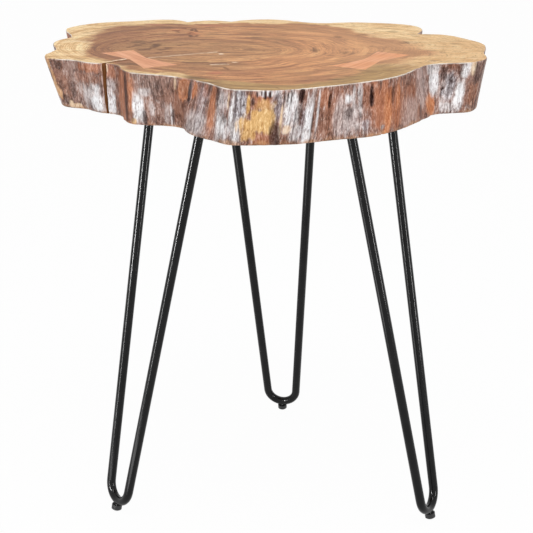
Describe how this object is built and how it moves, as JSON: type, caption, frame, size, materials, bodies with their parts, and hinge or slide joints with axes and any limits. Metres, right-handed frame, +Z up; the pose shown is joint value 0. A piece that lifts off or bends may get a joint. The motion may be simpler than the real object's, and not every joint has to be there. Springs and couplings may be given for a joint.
{
  "type": "accent table",
  "caption": "Accent table: a live-edge slab of trunk with inlaid bow-tie keys, on black steel hairpin legs with screw-in feet.",
  "frame": {"origin": "on the floor, under the middle of the slab's outline", "axes": "+Z up, -Y towards the front between the two front legs, +X to the right"},
  "size_m": [0.4969, 0.4621, 0.558],
  "materials": {
    "slab_wood": "clear-lacquered heartwood and sapwood with a natural edge",
    "key_wood": "clear-lacquered pale reddish wood",
    "black_paint": "gloss black paint",
    "screw_steel": "zinc-plated steel",
    "pad_nylon": "black nylon"
  },
  "bodies": {
    "table": {"live_edge_top": "slab_wood", "left_bowtie_key": "key_wood", "right_bowtie_key": "key_wood", "front_left_hairpin": "black_paint", "front_left_weld_beads": "black_paint", "front_left_plate": "black_paint", "front_left_plate_screws": "screw_steel", "back_hairpin": "black_paint", "back_weld_beads": "black_paint", "back_plate": "black_paint", "back_plate_screws": "screw_steel", "front_right_hairpin": "black_paint", "front_right_weld_beads": "black_paint", "front_right_plate": "black_paint", "front_right_plate_screws": "screw_steel"},
    "front_left_foot": {"front_left_glide_pad": "pad_nylon", "front_left_glide_stud": "screw_steel"},
    "back_foot": {"back_glide_pad": "pad_nylon", "back_glide_stud": "screw_steel"},
    "front_right_foot": {"front_right_glide_pad": "pad_nylon", "front_right_glide_stud": "screw_steel"}
  },
  "joints": [
    {"name": "front_left_foot_screw", "type": "slide", "parent": "table", "child": "front_left_foot", "axis": [-0.16, -0.1219, -0.9796], "range_m": [0, 0.004]},
    {"name": "back_foot_screw", "type": "slide", "parent": "table", "child": "back_foot", "axis": [0.0418, 0.1967, -0.9796], "range_m": [0, 0.004]},
    {"name": "front_right_foot_screw", "type": "slide", "parent": "table", "child": "front_right_foot", "axis": [0.175, -0.099, -0.9796], "range_m": [0, 0.004]}
  ]
}
